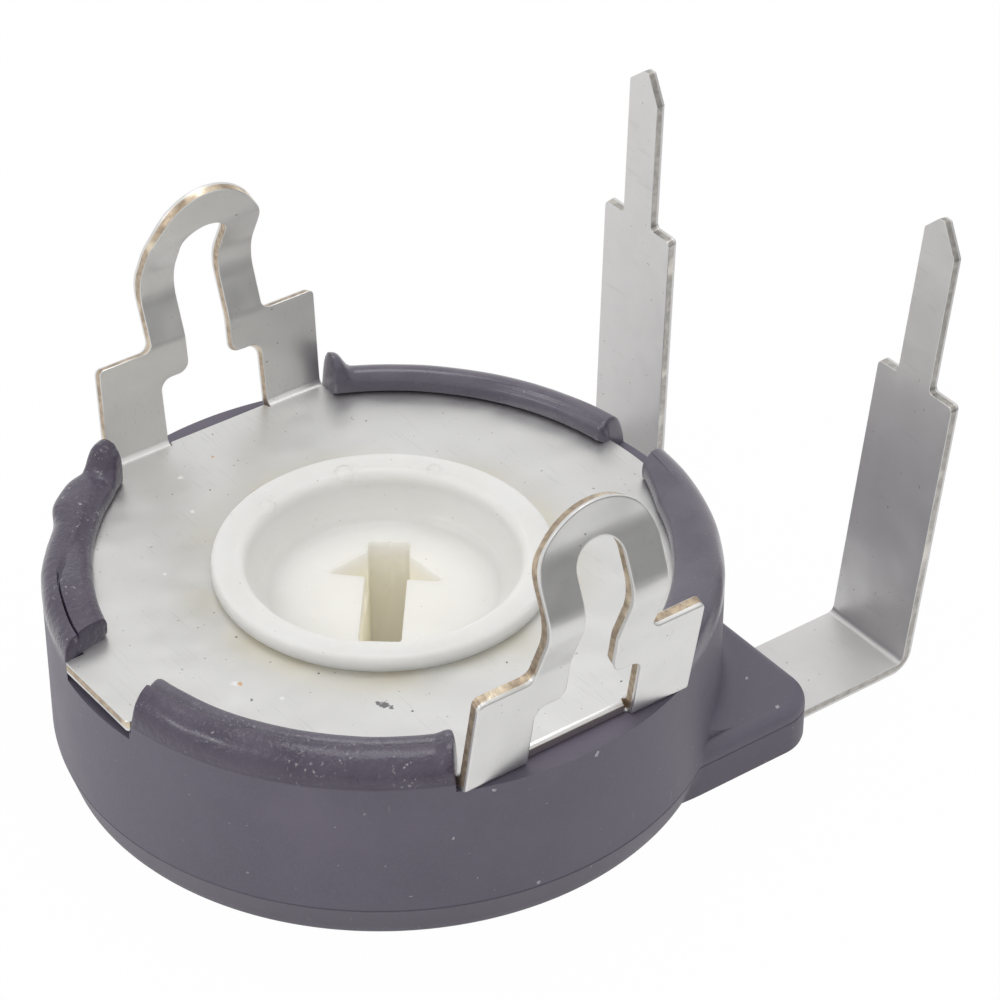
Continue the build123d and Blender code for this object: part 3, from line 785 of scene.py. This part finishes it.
def tinned(name, colour, dull, haze, collar_shade_near=None):
    """Dip-tinned steel: soft grey metal under a thin haze, with clouds, a few hairs and pits."""
    material, tree, shader, where = new_finish(name)
    cloud = grain(tree, where, 3.4, 4.0, 0.25, 0.75)
    mottle = grain(tree, where, 0.6, 3.0, 0.15, 0.85)
    fine_hairs = []
    for turn, shift in ((0.3, 1.0), (1.4, 4.0), (2.5, 9.0)):
        drawn = stretched(tree, where, (1.0, 0.05, 0.3), turn, (shift * mm, 0, 0))
        moved = stretched(tree, where, (1, 1, 1), 0, (0, shift * mm, shift * mm))
        fine_hairs.append(times(tree, grain(tree, drawn, 0.055, 0.0, 0.70, 0.76),
                                grain(tree, moved, 1.7, 2.0, 0.52, 0.64)))
    hairs = most(tree, *fine_hairs)
    pits = grain(tree, where, 0.12, 1.0, 0.77, 0.79)
    darker = [part * 0.93 for part in colour[:3]] + [1]
    tone = mix_colours(tree, cloud, darker, colour)
    tone = mix_colours(tree, times(tree, mottle, 0.5), tone, darker)
    tone = mix_colours(tree, times(tree, hairs, 0.14), tone, (0.42, 0.42, 0.42, 1))
    metal = spread(tree, mottle, 0.0, 1.0, 1.0 - haze, 1.0 - haze * 0.6)
    # Painted shade: round the collar the plate is tinted darker and yellower, for the warm shade that the
    # white collar casts.
    if collar_shade_near is not None:
        parts = node(tree, "ShaderNodeSeparateXYZ", Vector=where)
        near = spread(tree, from_axis(tree, parts), collar_shade_near[1] * mm, collar_shade_near[0] * mm)
        low = spread(tree, parts.outputs["Z"], 4.8 * mm, 4.7 * mm)
        collar_shade = times(tree, near, low, grain(tree, where, 2.2, 1.0, 0.2, 0.7), 0.75)
        tone = mix_colours(tree, collar_shade, tone, (0.64, 0.60, 0.47, 1))
        for ragged, mark_colour, places in plate_marks:
            mask = spots(tree, where, ragged, [(x, y, plate_top, radius) for x, y, radius in places])
            tone = mix_colours(tree, times(tree, mask, 0.9), tone, mark_colour)
            metal = times(tree, metal, spread(tree, mask, 0.0, 1.0, 1.0, 0.2))
    tone = mix_colours(tree, times(tree, pits, 0.6), tone, (0.16, 0.15, 0.14, 1))
    # Painted shade at the sheet's edge under each window: dark and not metallic.
    edge_shade = window_edge_shade(tree, where)
    tone = mix_colours(tree, edge_shade, tone, window_edge_shade_tone)
    metal = times(tree, metal, spread(tree, edge_shade, 0.0, 1.0, 1.0, 0.0))
    rough = spread(tree, most(tree, times(tree, cloud, 0.6), mottle), 0.0, 1.0, dull - 0.03, dull + 0.05)
    relief = bump(tree, grain(tree, where, 1.7, 1.0), 0.045)
    relief = bump(tree, pits, -0.002, relief)
    feed(tree, shader, Base_Color=tone, Metallic=metal, Roughness=rough, Normal=relief)
    return material


def sheared(name, dark, light, burnished):
    """The edge that the press tore: bare steel with streaks and burnished patches."""
    material, tree, shader, where = new_finish(name)
    streaks = grain(tree, where, 0.16, 3.0, 0.3, 0.7)
    patches = grain(tree, where, 1.0, 2.0, 0.55, 0.72)
    tone = mix_colours(tree, streaks, dark, light)
    tone = mix_colours(tree, patches, tone, burnished)
    # Painted shade at the torn edge under each window, as on the tinned face.
    edge_shade = window_edge_shade(tree, where)
    feed(tree, shader, Base_Color=mix_colours(tree, edge_shade, tone, window_edge_shade_tone),
         Roughness=spread(tree, patches, 0, 1, 0.40, 0.24), Normal=bump(tree, streaks, 0.003),
         Metallic=spread(tree, edge_shade, 0.0, 1.0, 0.9, 0.0))
    return material


# Marks on the plate: how ragged, colour, and places in mm with a radius. Pale flakes, dark
# chunks and dots, and rust-coloured crumbs.
plate_top = rim + sheet
plate_marks = (
    (0.10, (0.80, 0.80, 0.78, 1), ((-4.42, 2.89, 0.06), (-2.52, 4.64, 0.07), (-5.37, -1.66, 0.10),
                                   (-4.80, -2.75, 0.07), (-1.98, 6.05, 0.08), (3.2, -5.6, 0.06))),
    (0.12, (0.10, 0.10, 0.11, 1), ((-3.02, -4.36, 0.13), (-3.10, -4.22, 0.07), (-2.95, -4.52, 0.06),
                                   (-5.39, -2.39, 0.05))),
    (0.03, (0.03, 0.03, 0.03, 1), ((-3.60, -2.49, 0.035), (-2.64, -4.92, 0.035), (0.18, -4.76, 0.035),
                                   (-4.39, -0.20, 0.035), (-1.67, 5.17, 0.03), (1.9, -6.9, 0.035))),
    (0.10, (0.62, 0.34, 0.14, 1), ((-5.29, -1.73, 0.07), (-0.79, 4.47, 0.05), (-0.86, 6.34, 0.04))),
)
tinned_plate = tinned("tinned_plate", (0.755, 0.752, 0.739, 1), 0.36, 0.08, (4.0, 5.5))
torn_edge = sheared("torn_edge", (0.33, 0.26, 0.195, 1), (0.54, 0.44, 0.325, 1), (0.78, 0.68, 0.53, 1))
plate = add_piece("cover_sheet", plate_mesh, [tinned_plate, torn_edge])
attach(plate, "base")
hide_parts("cover_plate")

# Terminals: two strips of tinned sheet in channels under the floor, each bent up once outside
# the ear. The blade narrows at two shoulders to a pin that is cut to a point off its middle.
strip = 0.26
strip_half, pin_half = 1.35, 0.575
strip_start, strip_reach, strip_lift = 3.442, 11.64, 0.1
shoulder_height, pin_top = 7.75, 12.11
guide_x = 3.0
pin_fillets = (0.08, 0.14, 0.12, 0.08, 0.08, 0.08, 0.08, 0.12, 0.14, 0.08)
# Each terminal: side, lean in degrees, pin and point offset, bevel drop on the +Y and -Y sides
terminals = (
    ("back_strip", "back_terminal", 1, 1.7, 0.0, -0.06, 0.42, 0.78),
    ("front_strip", "front_terminal", -1, 7.6, 0.07, 0.12, 0.40, 0.80),
)
tinned_strip = tinned("tinned_strip", (0.70, 0.69, 0.685, 1), 0.40, 0.36)
strip_edge = sheared("strip_edge", (0.36, 0.34, 0.32, 1), (0.50, 0.48, 0.45, 1), (0.66, 0.63, 0.58, 1))
for name, cad_node, side, lean, pin_at, point_at, short_bevel, long_bevel in terminals:
    climb = 1 / math.cos(math.radians(lean))
    tip = strip_reach + (pin_top - strip_lift) * climb
    shoulder = strip_reach + (shoulder_height - strip_lift) * climb
    corners = [
        (strip_start, -strip_half), (shoulder, -strip_half), (shoulder, pin_at - pin_half),
        (tip - long_bevel, pin_at - pin_half), (tip, point_at - 0.1), (tip, point_at + 0.1),
        (tip - short_bevel, pin_at + pin_half), (shoulder, pin_at + pin_half), (shoulder, strip_half),
        (strip_start, strip_half),
    ]
    blank = evenly(soften(corners, pin_fillets, 5), 0.2)
    hole = ring_of(eyelet_hole, 40, eyelet_x, (eyelet_y - terminal_y) * side)
    shell = stamped([blank, hole], strip, 0.045, 0.012)
    lean_out = (pin_top - strip_lift) * math.tan(math.radians(lean))
    guide = fold_guide(((guide_x, strip_lift), (strip_reach, strip_lift), (strip_reach + lean_out, pin_top)),
                       ((0.62, 0.20),), strip, 16)
    for length in guide[0][1:-1]:
        score(shell, shell.faces[:], (guide_x + length, 0, 0), (1, 0, 0))
    for vertex in shell.verts:
        x, y, level = vertex.co
        out, up = fold(guide, x - guide_x, level / strip)
        vertex.co = (out * mm, (y + side * terminal_y) * mm, up * mm)
    piece = add_piece(name, folded_mesh(name, shell), [tinned_strip, strip_edge])
    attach(piece, "base")
    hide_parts(cad_node)

# Rotor: one glossy white moulding with a flared collar over the plate, a dished recess, a long
# driver slot right through it and an arrow head that points along the slot to the setting.
rest_angle = math.radians(51.5)
flange_low, flange_high, flange_radius, neck_radius = 3.4, 4.3, 5.9, 3.7
under_collar, collar_top, recess_floor = 4.67, 5.12, 3.92
slot_reach, slot_width = 2.0, 1.05
stop_nose_reach, stake_at, stake_angles = 6.85, 4.3, (128.0, 232.0)


def rotor_profile():
    """Half section from the slot's middle round the hub, flange and collar to the recess."""
    section = [(0.25, 0.15), (2.5, 0.15), (2.6, 0.25), (2.6, 3.3), (2.7, flange_low), (5.8, flange_low),
               (flange_radius, flange_low + 0.1), (flange_radius, flange_high - 0.1), (5.8, flange_high),
               (neck_radius + 0.1, flange_high), (neck_radius, flange_high + 0.1),
               (neck_radius, under_collar)]
    section += [(4.02, under_collar), (4.10, under_collar + 0.01), (4.16, under_collar + 0.045),
                (4.185, under_collar + 0.10), (4.185, under_collar + 0.18), (4.17, under_collar + 0.28)]
    section += arc(4.03, collar_top - 0.13, 0.13, 12, 80, 7)
    section += [(3.95, collar_top - 0.002), (3.80, collar_top - 0.014), (3.67, collar_top - 0.035)]
    section += arc(3.60, collar_top - 0.30, 0.25, 80, 178, 14)[1:]
    section += [(3.33, 4.72), (3.27, 4.60), (3.19, 4.46), (3.10, 4.32), (3.02, 4.20), (2.975, 4.145),
                (2.955, 4.13), (2.93, 4.10), (2.89, 4.045), (2.84, 3.99), (2.78, 3.95), (2.70, 3.928),
                (2.60, recess_floor), (0.25, recess_floor)]
    return section


profile = rotor_profile()
rotor_mesh = polar_shell("rotor_moulding", np.arange(0, 360, 1.5).tolist(), lambda angle: profile)
weld(rotor_mesh)
rotor_plastic, tree, shader, where = new_finish("rotor_plastic")
rotor = add_piece("rotor_moulding", rotor_mesh, [rotor_plastic])
slot = [(-slot_reach, -slot_width / 2), (slot_reach, -slot_width / 2), (slot_reach, slot_width / 2),
        (-slot_reach, slot_width / 2)]
slot_tool = prism(soften(slot, [0.08] * 4), -1, 6)
arrow_tool = prism(soften([(0.46, -0.4), (0.44, -1.42), (2.06, 0.0), (0.66, 1.46), (0.52, 0.4)],
                          [0, 0.07, 0.1, 0.07, 0]), 2.72, 6)
window_tool = prism([(-5.45, -1.65), (-4.15, -1.65), (-4.15, 1.65), (-5.45, 1.65)], 3.0, 4.32)
combine(rotor, "DIFFERENCE", [slot_tool, arrow_tool])
stop_nose = arc(0, 0, 3.5, 12, -12, 9) + arc(0, 0, stop_nose_reach, -12, 12, 17)
added = [prism(stop_nose, flange_low, flange_high)]
for turn in stake_angles:
    x, y = stake_at * math.cos(math.radians(turn)), stake_at * math.sin(math.radians(turn))
    added.append(prism(ring_of(0.35, 32, x, y), 3.25, 3.6))
    added.append(prism(ring_of(0.55, 32, x, y), 3.13, 3.25))
combine(rotor, "UNION", added)
combine(rotor, "DIFFERENCE", [window_tool])
weld(rotor.data)
easing = rotor.modifiers.new("easing", "BEVEL")
easing.width = 0.045 * mm
easing.segments = 3
easing.limit_method = "ANGLE"
easing.angle_limit = math.radians(50)
easing.harden_normals = False
apply_modifiers(rotor)
rotor.data.transform(Matrix.Rotation(rest_angle, 4, "Z"))
smooth_shading(rotor.data, 35)

# White plastic that light goes into, so that it is soft. Deep in the slot its colour is painted warmer and
# lighter and it glows
# faintly: painted light for light that comes through the plastic. A few specks, and three blisters on the
# collar.
height = node(tree, "ShaderNodeSeparateXYZ", Vector=where).outputs["Z"]
cloud = grain(tree, where, 1.8, 3.0, 0.3, 0.7)
tone = mix_colours(tree, cloud, (0.800, 0.784, 0.738, 1), (0.830, 0.816, 0.775, 1))
# Painted light: deeper in the slot the colour is warmer and lighter and a faint glow is added.
slot_glow = spread(tree, height, recess_floor * mm, 3.0 * mm)
tone = mix_colours(tree, slot_glow, tone, (0.975, 0.935, 0.80, 1))
specks = grain(tree, where, 0.10, 1.0, 0.785, 0.80)
tone = mix_colours(tree, times(tree, specks, 0.55), tone, (0.42, 0.30, 0.18, 1))
relief = bump(tree, grain(tree, where, 0.5, 3.0), 0.004)
blister_places = ((1.14, 3.36, 5.0, 0.27), (3.00, 2.12, 5.0, 0.22), (-1.17, 3.30, 5.0, 0.25))
relief = bump(tree, spots(tree, where, 0.10, blister_places), 0.035, relief)
feed(tree, shader, Base_Color=tone, Roughness=spread(tree, cloud, 0, 1, 0.34, 0.44), Normal=relief,
     Emission_Color=(0.95, 0.86, 0.66, 1), Emission_Strength=times(tree, slot_glow, 0.075),
     Subsurface_Weight=0.9, Subsurface_Scale=1.6 * mm, Subsurface_Radius=(1.0, 0.98, 0.92))
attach(rotor, "rotor")
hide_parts("rotor")


# Element and wiper inside: a phenolic paper board with a printed carbon horseshoe and silvered
# ends, and a bronze spring staked under the rotor. They show only through the slot and bore.
def simple_finish(name, dark, light, size, low, high, metallic, stretch=(1, 1, 1)):
    """A finish of two mottled tones with a matching bump."""
    material, tree, shader, where = new_finish(name)
    pattern = grain(tree, stretched(tree, where, stretch), size, 5.0, 0.3, 0.7)
    fine = grain(tree, where, size * 0.2, 2.0, 0.3, 0.7)
    both = calc(tree, "ADD", times(tree, pattern, 0.7), times(tree, fine, 0.3))
    feed(tree, shader, Base_Color=mix_colours(tree, both, dark, light), Normal=bump(tree, both, 0.006),
         Roughness=spread(tree, both, 0, 1, low, high), Metallic=metallic)
    return material


inner_finishes = {
    "wiper_spring": simple_finish("spring_bronze", (0.55, 0.33, 0.14, 1), (0.78, 0.52, 0.25, 1), 0.5,
                                  0.28, 0.4, 1.0, (1, 0.1, 1)),
    "resistor_board": simple_finish("laminate", (0.20, 0.095, 0.035, 1), (0.34, 0.18, 0.075, 1), 0.6,
                                    0.45, 0.6, 0.0, (1, 0.2, 1)),
    "carbon_track": simple_finish("carbon_print", (0.010, 0.010, 0.011, 1), (0.028, 0.027, 0.028, 1), 0.3,
                                  0.4, 0.55, 0.0),
    "back_track_pad": simple_finish("silver_print", (0.50, 0.49, 0.46, 1), (0.74, 0.72, 0.68, 1), 0.25,
                                    0.35, 0.5, 0.7),
}
inner_finishes["front_track_pad"] = inner_finishes["back_track_pad"]
for name, material in inner_finishes.items():
    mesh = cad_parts[name].data
    mesh.materials.clear()
    mesh.materials.append(material)

# Eyelets: two brass hollow rivets with rolled flanges that clinch each terminal through the
# floor to its silvered track end.
eyelet_metal = simple_finish("eyelet_metal", (0.62, 0.50, 0.28, 1), (0.80, 0.70, 0.46, 1), 0.2,
                             0.25, 0.4, 1.0)
eyelet_height, tube, eyelet_bore, flange = 1.75, 0.42, 0.27, 0.65
lower_half = [(eyelet_bore, 0.06), (eyelet_bore + 0.05, 0.01), (0.40, 0.0), (flange - 0.04, 0.01),
              (flange, 0.05), (flange - 0.02, 0.09), (0.5, 0.1), (tube, 0.13)]
rivet_section = lower_half + [(radius, eyelet_height - z) for radius, z in lower_half[::-1]]
rivet_mesh = polar_shell("eyelet", np.arange(0, 360, 7.5).tolist(), lambda angle: rivet_section)
weld(rivet_mesh)
eyelets = add_piece("eyelet_pair", rivet_mesh, [])


def rows_of_rivets(material):
    """Geometry nodes: the rivet set at equal steps along Y, from one end of the row."""
    group = bpy.data.node_groups.new("rivet_row", "GeometryNodeTree")
    face = group.interface
    face.new_socket("Geometry", in_out="INPUT", socket_type="NodeSocketGeometry")
    count = face.new_socket("Count", in_out="INPUT", socket_type="NodeSocketInt")
    first = face.new_socket("First place", in_out="INPUT", socket_type="NodeSocketVector")
    step = face.new_socket("Step", in_out="INPUT", socket_type="NodeSocketVector")
    face.new_socket("Geometry", in_out="OUTPUT", socket_type="NodeSocketGeometry")
    start, end = group.nodes.new("NodeGroupInput"), group.nodes.new("NodeGroupOutput")
    row = node(group, "GeometryNodeMeshLine", {"mode": "OFFSET"}, Count=start.outputs["Count"],
               Start_Location=start.outputs["First place"], Offset=start.outputs["Step"])
    placed = node(group, "GeometryNodeInstanceOnPoints", Points=row.outputs[0],
                  Instance=start.outputs["Geometry"])
    solid = node(group, "GeometryNodeRealizeInstances", Geometry=placed.outputs[0])
    done = node(group, "GeometryNodeSetMaterial", Geometry=solid.outputs[0], Material=material)
    group.links.new(done.outputs[0], end.inputs[0])
    return group, count.identifier, first.identifier, step.identifier


group, count_id, first_id, step_id = rows_of_rivets(eyelet_metal)
maker = eyelets.modifiers.new("rivet row", "NODES")
maker.node_group = group
maker[count_id] = 2
maker[first_id] = (eyelet_x * mm, -eyelet_y * mm, 0)
maker[step_id] = (0, 2 * eyelet_y * mm, 0)
apply_modifiers(eyelets)
smooth_shading(eyelets.data, 40)
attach(eyelets, "base")
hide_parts("back_eyelet", "front_eyelet")
